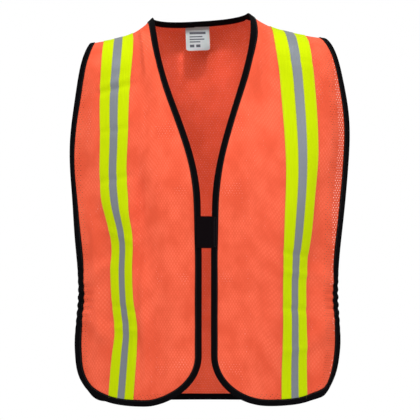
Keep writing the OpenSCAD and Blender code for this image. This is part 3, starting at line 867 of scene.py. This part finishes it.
def tape_grid(side, hand, half_width, columns, end_inset, step=2.5 * MM):
    off = np.linspace(-half_width, half_width, columns)[None, :]
    rough = float(hem_at(side, TAPE_MIDDLE, end_inset))
    foot = tape_point(side, hand, rough, off)
    length = hem_at(side, foot[..., 0], end_inset)
    t = np.linspace(0, 1, int(rough / step))[:, None]
    return tape_point(side, hand, t * length, off)


def tucked(grid, low, high):
    """Heights of a tape that gets flatter over its last few millimetres, under the hem's binding."""
    left = grid[-1:, :, 1] - grid[..., 1]
    flat = smooth((left - 2.5 * MM) / (3 * MM))
    return mix(0.10 * MM, low, flat), mix(0.40 * MM, high, flat)


for side, side_name in SIDES:
    for hand, hand_name in HANDS:
        name = f"{hand_name}_{side_name}"
        grid = tape_grid(side, hand, TAPE_W / 2, 13, BINDING_W - 2.5 * MM)
        low, high = tucked(grid, TAPE_H, TAPE_H + TAPE_T)
        tape = strip_solid(name + "_lime_tape", side, grid, low, high, MATERIALS["lime_tape"])
        finish_piece(tape, "lime_tape", [name + "_tape"], **moves_of(side, hand))
        grid = tape_grid(side, hand, STRIPE_W / 2, 5, BINDING_W + 0.1 * MM)
        low = TAPE_H + TAPE_T + 0.1 * MM
        stripe = strip_solid(name + "_silver_stripe", side, grid, low, low + STRIPE_T,
                             MATERIALS["silver_stripe"])
        finish_piece(stripe, "silver_stripe", [name + "_stripe"], **moves_of(side, hand))

# ------------------------------------------------
# Thread: rows of stitches, each a short rounded bar that sinks at both ends
STITCH_PITCH = 3.2 * MM
STITCH_LENGTH = 2.4 * MM
STITCH_SINK = np.array([-0.25, 0.1, 0.1, -0.25]) * MM
STITCH_PLACES = np.array([0, 0.2, 0.8, 1])


def stitch_mesh(name, bars, thread):
    """Each bar is four rings of four points."""
    points, faces = [], []
    for rings in bars:
        first = len(points)
        points += np.reshape(rings, (-1, 3)).tolist()
        for s in range(3):
            for j in range(4):
                a, b = first + s * 4 + j, first + s * 4 + (j + 1) % 4
                faces.append([a, b, b + 4, a + 4])
        faces.append([first + j for j in (3, 2, 1, 0)])
        faces.append([first + 12 + j for j in range(4)])
    obj = add_mesh(name, points, faces, MATERIALS[thread])
    face_outward(obj)
    return obj


def stitches(name, side, rows, height, thread="thread", radius=THREAD_R):
    """rows is a list of lines of places on the cloth."""
    bars = []
    for line in rows:
        along = length_along(surface(side, line[:, 0], line[:, 1]))
        count = max(1, int(along[-1] / STITCH_PITCH))
        starts = (np.arange(count) + 0.2) * along[-1] / count
        at = starts[:, None] + STITCH_LENGTH * STITCH_PLACES[None, :]
        x, w = (np.interp(at, along, line[:, i]) for i in (0, 1))
        dx, dw = np.gradient(x, axis=1), np.gradient(w, axis=1)
        size = np.hypot(dx, dw)
        nx, nw = -dw / size * radius, dx / size * radius
        ring = []
        for across, up in ((-1, 0), (0, 1), (1, 0), (0, -1)):
            place = np.stack([x + nx * across, np.maximum(w + nw * across, 0)], -1)
            ring.append(raised(side, place, height + STITCH_SINK[None, :] + up * radius * np.ones_like(x)))
        bars += list(np.stack(ring, 2))
    return stitch_mesh(name, bars, thread)


EDGE_SEW = BINDING_W - 1.6 * MM
for side, name, rim, hand in (
        (BACK, "back_edge_sewing", back_rim, LEFT),
        (BACK, "back_neck_sewing", neck_rim, LEFT),
        (FRONT, "right_front_edge_sewing", front_rim, RIGHT),
        (FRONT, "left_front_edge_sewing", front_rim, LEFT)):
    line = mirrored(mix(rim(0.0), rim(BINDING_W), EDGE_SEW / BINDING_W), hand)
    finish_piece(stitches(name, side, [line], LEAF_OUT), "thread", **moves_of(side, hand))
TAPE_SEW = TAPE_W / 2 - 1.4 * MM
STRIPE_SEW = STRIPE_W / 2 + 1 * MM
for side, side_name in SIDES:
    for hand, hand_name in HANDS:
        w = tape_grid(side, hand, TAPE_W / 2, 3, BINDING_W + 1 * MM)[:, 1, 1]
        edges = [tape_point(side, hand, w, off) for off in (-TAPE_SEW, TAPE_SEW, -STRIPE_SEW, STRIPE_SEW)]
        sewing = stitches(f"{hand_name}_{side_name}_tape_sewing", side, edges, TAPE_H + TAPE_T, "tape_thread",
                          radius=0.25 * MM)
        finish_piece(sewing, "thread", **moves_of(side, hand))


# ------------------------------------------------
# Webbing: flat strips that stand upright, drawn from their plan
def plan_point(side, x, z, h):
    slope = 2 * bow(side, z) * x
    return np.array([x, side * (reach(side, z) - bow(side, z) * x * x + h * math.sqrt(1 + slope * slope))])


def resample(line, step):
    line = np.asarray(line, float)
    along = length_along(line)
    at = np.linspace(0, along[-1], max(2, int(along[-1] / step)))
    return np.stack([np.interp(at, along, line[:, i]) for i in range(line.shape[1])], -1), at


def upright_strip(name, line, z_mid, thickness, material, step=1.5 * MM, sway=lambda a, v: 0, corner=0.0):
    """A strip of webbing whose middle follows a line of plan points. sway bends it, by along and height."""
    line, along = resample(line, step)
    tangent = np.gradient(line, axis=0)
    tangent /= np.linalg.norm(tangent, axis=1, keepdims=True)
    out = np.stack([-tangent[:, 1], tangent[:, 0]], -1)
    v = np.linspace(-1, 1, 16)
    ends = np.minimum(along, along[-1] - along)
    short = corner - np.sqrt(np.maximum(0, corner ** 2 - np.maximum(0, corner - ends) ** 2))
    z = z_mid + (WEBBING_W / 2 - short)[:, None] * v[None, :]
    thin = np.where(np.abs(v) > 0.98, 0.55, 1.0)[None, :]
    grids = []
    for sign in (1, -1):
        shift = (sign * thickness / 2) * thin + sway(along[:, None], v[None, :])
        xy = line[:, None, :] + out[:, None, :] * shift[..., None]
        grids.append(np.concatenate([xy, z[..., None]], -1))
    uv = np.stack(np.broadcast_arrays(along[:, None] / MM, v[None, :] * WEBBING_W / 2 / MM), -1)
    return closed_sheet(name, *grids, uv.reshape(-1, 2), material)


# Side elastics: sewn inside the front's edge and inside the back's edge
WEB_T = 1.2 * MM
ELASTIC_H = -(LEAF_OUT + 0.35 * MM + WEB_T / 2)
SEWN = 9 * MM
front_edge_x = float(side_edge(-ELASTIC_Z - SHOULDER_DROP))
back_edge_x = front_edge_x - BACK_INSET


def ripple(along, v):
    return 0.35 * MM * np.sin(along / 0.0035) * np.cos(3 * v) * smooth((along - 0.01) / 0.01)


for hand, name in HANDS:
    f0, f1 = (plan_point(FRONT, front_edge_x - d, ELASTIC_Z, ELASTIC_H) for d in (SEWN + 2 * MM, 2 * MM))
    b0, b1 = (plan_point(BACK, back_edge_x - d, ELASTIC_Z, ELASTIC_H) for d in (1 * MM, SEWN))
    t = np.linspace(0, 1, 30)[:, None]
    leave, arrive = f1 + (f1 - f0) * 0.3, b0 + (b0 - b1) * 0.5
    middle = (1 - t) ** 3 * f1 + 3 * (1 - t) ** 2 * t * leave + 3 * (1 - t) * t * t * arrive + t ** 3 * b0
    line = np.concatenate([f0[None], middle, b1[None]]) * np.array([hand, 1.0])
    strip = upright_strip(name + "_elastic", line, ELASTIC_Z, WEB_T, MATERIALS["black_elastic"], sway=ripple)
    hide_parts(name + "_side_elastic", name + "_elastic_front_end")
    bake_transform(strip)

# Closure: the loop tab is sewn to the right front, and the hook tab to the left one
TAB_T = 1.1 * MM
TAB_LOW = LEAF_OUT + 0.25 * MM
TAB_HIGH = TAB_LOW + TAB_T + 0.25 * MM
TAB_CORNER = 1.5 * MM
BASE_END = 17 * MM


def out_of_front(h):
    return -(FRONT_DEPTH + h)


loop_line = [(x, out_of_front(TAB_LOW + TAB_T / 2)) for x in (-BASE_END, 5 * MM)]
loop_tab = upright_strip("closure_loop_tab", loop_line, CLOSURE_Z, TAB_T, MATERIALS["black_hook_loop"],
                         corner=TAB_CORNER)
finish_piece(loop_tab, "black_hook_loop", ["loop_tab"], body="right_front")
hook_line = [(x * MM, out_of_front(h + TAB_T / 2)) for x, h in (
    (-16.5, TAB_HIGH), (-6, TAB_HIGH), (3.5, TAB_HIGH), (5.5, TAB_HIGH - 0.1 * MM),
    (7.5, mix(TAB_LOW, TAB_HIGH, 0.5)), (9.3, TAB_LOW + 0.1 * MM), (11, TAB_LOW), (17, TAB_LOW))]
hook_tab = upright_strip("closure_hook_tab", hook_line, CLOSURE_Z, TAB_T, MATERIALS["black_hook_loop"],
                         step=0.6 * MM, corner=TAB_CORNER)
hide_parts("hook_tab", "hook_tab_base")
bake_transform(hook_tab)

# Stitches on the closure: rows of small bars, given by their ends, that stand out to the front
BAR_PITCH = 3.0 * MM
BAR_LENGTH = 2.2 * MM
BAR_R = 0.3 * MM


def bar_rows(name, lines):
    out = np.array([0.0, -1.0, 0.0])
    bars = []
    for start, end in np.array(lines, float):
        whole = np.linalg.norm(end - start)
        d = (end - start) / whole
        aside = np.cross(d, out)
        for i in range(max(1, int(whole / BAR_PITCH))):
            a = start + d * (i + 0.15) * BAR_PITCH
            rings = []
            for s, grow, up in ((0, 0.5, -0.3), (0.25, 1, 0.15), (0.75, 1, 0.15), (1, 0.5, -0.3)):
                c = a + d * s * BAR_LENGTH + out * up * BAR_R
                rings.append([c + way * BAR_R * grow for way in (-aside, out, aside, -out)])
            bars.append(rings)
    return stitch_mesh(name, bars, "thread")


def box_rows(x0, x1, y, half):
    """The four sides of a sewn rectangle in a plane of one depth."""
    z0, z1 = CLOSURE_Z - half, CLOSURE_Z + half
    return [((x0, y, z0), (x1, y, z0)), ((x0, y, z1), (x1, y, z1)), ((x0, y, z0), (x0, y, z1)),
            ((x1, y, z0), (x1, y, z1))]


half_sewn = WEBBING_W / 2 - 2.5 * MM
hook_face = out_of_front(TAB_LOW + TAB_T)
hook_sewing = bar_rows("hook_tab_sewing", box_rows(12.2 * MM, 15.6 * MM, hook_face, half_sewn))
finish_piece(hook_sewing, "thread", ["hook_stitching"], body="left_front")
loop_face = out_of_front(TAB_LOW + TAB_T - 0.2 * MM)
loop_ends = [(-15.4 * MM, loop_face, CLOSURE_Z + z) for z in (-half_sewn, half_sewn)]
finish_piece(bar_rows("loop_tab_sewing", [loop_ends]), "thread", ["loop_stitching"], body="right_front")


def elastic_rows(edge_x, hand):
    """Two rows of stitches through the edge, where the elastic is sewn behind it."""
    z = np.linspace(ELASTIC_Z - half_sewn, ELASTIC_Z + half_sewn, 30)
    rows = []
    for inset in (2.6 * MM, 7.4 * MM):
        x = np.full(30, edge_x - inset)
        rows.append(mirrored(np.stack([x, w_at(x, z)], -1), hand))
    return rows


for hand, name in HANDS:
    sewing = stitches(name + "_elastic_sewing", FRONT, elastic_rows(front_edge_x, hand), LEAF_OUT + 0.2 * MM)
    finish_piece(sewing, "thread", [name + "_elastic_stitching"], hand=hand)
rows = elastic_rows(back_edge_x, RIGHT) + elastic_rows(back_edge_x, LEFT)
sewing = stitches("back_elastic_sewing", BACK, rows, LEAF_OUT + 0.2 * MM)
finish_piece(sewing, "thread", ["back_elastic_stitching"], body="back")

# Shoulder seams: the two cloths' edges, folded to the inside of the back and sewn flat
SEAM_W = 8 * MM
for hand, name in HANDS:
    x = np.linspace(NECK_CURVE_HALF + BINDING_W, TIP_HALF - BINDING_W, 50)
    w = np.linspace(0.2 * MM, SEAM_W, 4)
    grid = np.stack(np.broadcast_arrays(x[:, None], w[None, :]), -1)
    grid = grid if hand == LEFT else mirrored(grid, RIGHT)[::-1]
    seam = strip_solid(name + "_shoulder_join", BACK, grid, -1.3 * MM, -0.5 * MM, MATERIALS["orange_mesh"])
    finish_piece(seam, "orange_mesh", [name + "_shoulder_seam"], body="back")
    line = mirrored(np.stack([x, np.full(50, SEAM_W - 1.5 * MM)], -1), hand)
    sewing = stitches(name + "_shoulder_sewing", BACK, [line], 0.45 * MM, radius=0.2 * MM)
    finish_piece(sewing, "thread", body="back")

# ------------------------------------------------
# Neck label: a woven tag sewn under the back neck binding, which hangs down inside the back
LABEL_T = 0.5 * MM
LABEL_TILT = -0.035
LABEL_TUCK = 2.2 * MM
label_low, label_high = (Vector(c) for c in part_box("neck_label"))
label_mid_y = (label_low.y + label_high.y) / 2


def label_place(u, v, h):
    """u across and v down, both from 0 to 1, and h out of the label towards the front."""
    x = (u - 0.5) * LABEL_W
    z = label_high.z + LABEL_TUCK - v * (LABEL_H + 0.6 * MM)
    seam = 1.6 * np.maximum(0, z - label_high.z + 1.8 * MM)
    y = label_mid_y - seam - 1.2 * MM * v * v
    y = y - 0.8 * MM * np.sin(math.pi * u) * v + 0.35 * MM * np.sin(9 * u + 5 * v) * v
    x, z = x + (z - label_high.z) * LABEL_TILT, z - x * LABEL_TILT
    return np.stack(np.broadcast_arrays(x, y - h, z), -1)


def label_patch(name, ends, low, high, material, corner=0.0, columns=10, rows=4):
    """ends are the first and last u, then v. corner rounds the two lower corners."""
    u0, u1, v0, v1 = ends
    u, v = np.linspace(u0, u1, columns)[None, :], np.linspace(v0, v1, rows)[:, None]
    if corner:
        past = np.maximum(0, v - (1 - corner)) / corner
        narrow = corner * (1 - np.sqrt(np.maximum(0, 1 - np.square(past)))) * LABEL_H / LABEL_W
        u = mix(0.5, u, ((u1 - u0) - 2 * narrow) / (u1 - u0))
    u, v = np.broadcast_arrays(u, v)
    uv = np.stack([u * LABEL_W / MM, v * LABEL_H / MM], -1).reshape(-1, 2)
    return closed_sheet(name, label_place(u, v, high), label_place(u, v, low), uv, material)


label = label_patch("neck_label_cloth", (0, 1, 0, 1), -LABEL_T / 2, LABEL_T / 2, MATERIALS["woven_label"],
                    corner=0.1, columns=28, rows=28)
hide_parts("neck_label")
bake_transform(label)
PRINT_BARS = [
    (0.16, 0.84, 0.20, 0.30), (0.16, 0.70, 0.38, 0.43), (0.16, 0.78, 0.49, 0.54), (0.16, 0.60, 0.60, 0.65),
    (0.16, 0.34, 0.74, 0.86), (0.42, 0.60, 0.74, 0.86)]
for i, ends in enumerate(PRINT_BARS):
    mark = label_patch(f"neck_label_bar_{i + 1}", ends, LABEL_T / 2 - 0.05 * MM, LABEL_T / 2 + 0.06 * MM,
                       MATERIALS["label_print"])
    finish_piece(mark, "woven_label", body="label")
x = np.linspace(-0.015, 0.015, 20)
label_line = np.stack([x, neckline_w(x, BINDING_W - 3.2 * MM)], -1)
label_sewing = stitches("label_sewing", BACK, [label_line], LEAF_OUT + 0.1 * MM)
finish_piece(label_sewing, "thread", ["label_stitching"], body="back")

# ------------------------------------------------
for hand in (RIGHT, LEFT):
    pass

# ------------------------------------------------
# Camera, lights and surroundings
AIM = Vector((0.0097, -0.050, -0.318))
CAMERA_AZIMUTH, CAMERA_ELEVATION, CAMERA_DISTANCE = -4.4, -0.5, 4.5
FRAME_WIDTH = 0.6804
SENSOR = 36
FLOOR_HALF, FLOOR_Z = 1.2, -0.80
WORLD_LIGHT, WORLD_SEEN = 0.62, 1.0
# name, place, target, size, watts, spread in degrees
LIGHTS = [
    ("key", (-0.8, -1.5, 1.0), (0, 0, -0.1), 1.2, 17.5, 180),
    ("fill", (1.7, -1.5, 0.7), (0, 0, -0.2), 1.5, 15, 180),
    ("top", (0.1, -0.8, 1.7), (0, 0.05, -0.1), 0.9, 20, 180),
    ("neck", (0, -0.5, 0.55), (0, 0.06, 0.0), 0.08, 0.042, 12),
]


def add_camera():
    a, e = math.radians(CAMERA_AZIMUTH), math.radians(CAMERA_ELEVATION)
    away = Vector((math.sin(a) * math.cos(e), -math.cos(a) * math.cos(e), math.sin(e)))
    camera_data = bpy.data.cameras.new("camera")
    camera_data.sensor_width = SENSOR
    camera_data.lens = SENSOR * CAMERA_DISTANCE / FRAME_WIDTH
    camera = bpy.data.objects.new("camera", camera_data)
    camera.location = AIM + away * CAMERA_DISTANCE
    camera.rotation_euler = (-away).to_track_quat("-Z", "Y").to_euler()
    bpy.context.collection.objects.link(camera)
    bpy.context.scene.camera = camera


def add_light(name, place, target, size, watts, spread):
    data = bpy.data.lights.new(name, "AREA")
    data.shape = "DISK"
    data.size = size
    data.energy = watts
    data.spread = math.radians(spread)
    light = bpy.data.objects.new(name, data)
    light.location = place
    light.rotation_euler = (Vector(target) - Vector(place)).to_track_quat("-Z", "Y").to_euler()
    bpy.context.collection.objects.link(light)


def add_floor():
    corners = [(FLOOR_HALF * i, FLOOR_HALF * j, 0) for i, j in ((-1, -1), (1, -1), (1, 1), (-1, 1))]
    mesh = bpy.data.meshes.new("floor")
    mesh.from_pydata(corners, [], [(0, 1, 2, 3)])
    mesh.materials.append(plain("pale_floor", (0.72, 0.72, 0.72), 0.9))
    floor = bpy.data.objects.new("floor", mesh)
    floor.location = (0, 0, FLOOR_Z)
    bpy.context.collection.objects.link(floor)


def add_world():
    """White to the camera, and less bright as a light."""
    world = bpy.data.worlds.new("white_room")
    world.use_nodes = True
    room = world.node_tree.nodes["Background"]
    room.inputs["Color"].default_value = (1, 1, 1, 1)
    seen = world.node_tree.nodes.new("ShaderNodeLightPath")
    strength = world.node_tree.nodes.new("ShaderNodeMapRange")
    strength.inputs["To Min"].default_value = WORLD_LIGHT
    strength.inputs["To Max"].default_value = WORLD_SEEN
    world.node_tree.links.new(seen.outputs["Is Camera Ray"], strength.inputs["Value"])
    world.node_tree.links.new(strength.outputs["Result"], room.inputs["Strength"])
    bpy.context.scene.world = world


add_camera()
add_floor()
for light in LIGHTS:
    add_light(*light)
add_world()
bpy.context.scene.view_settings.view_transform = "Standard"
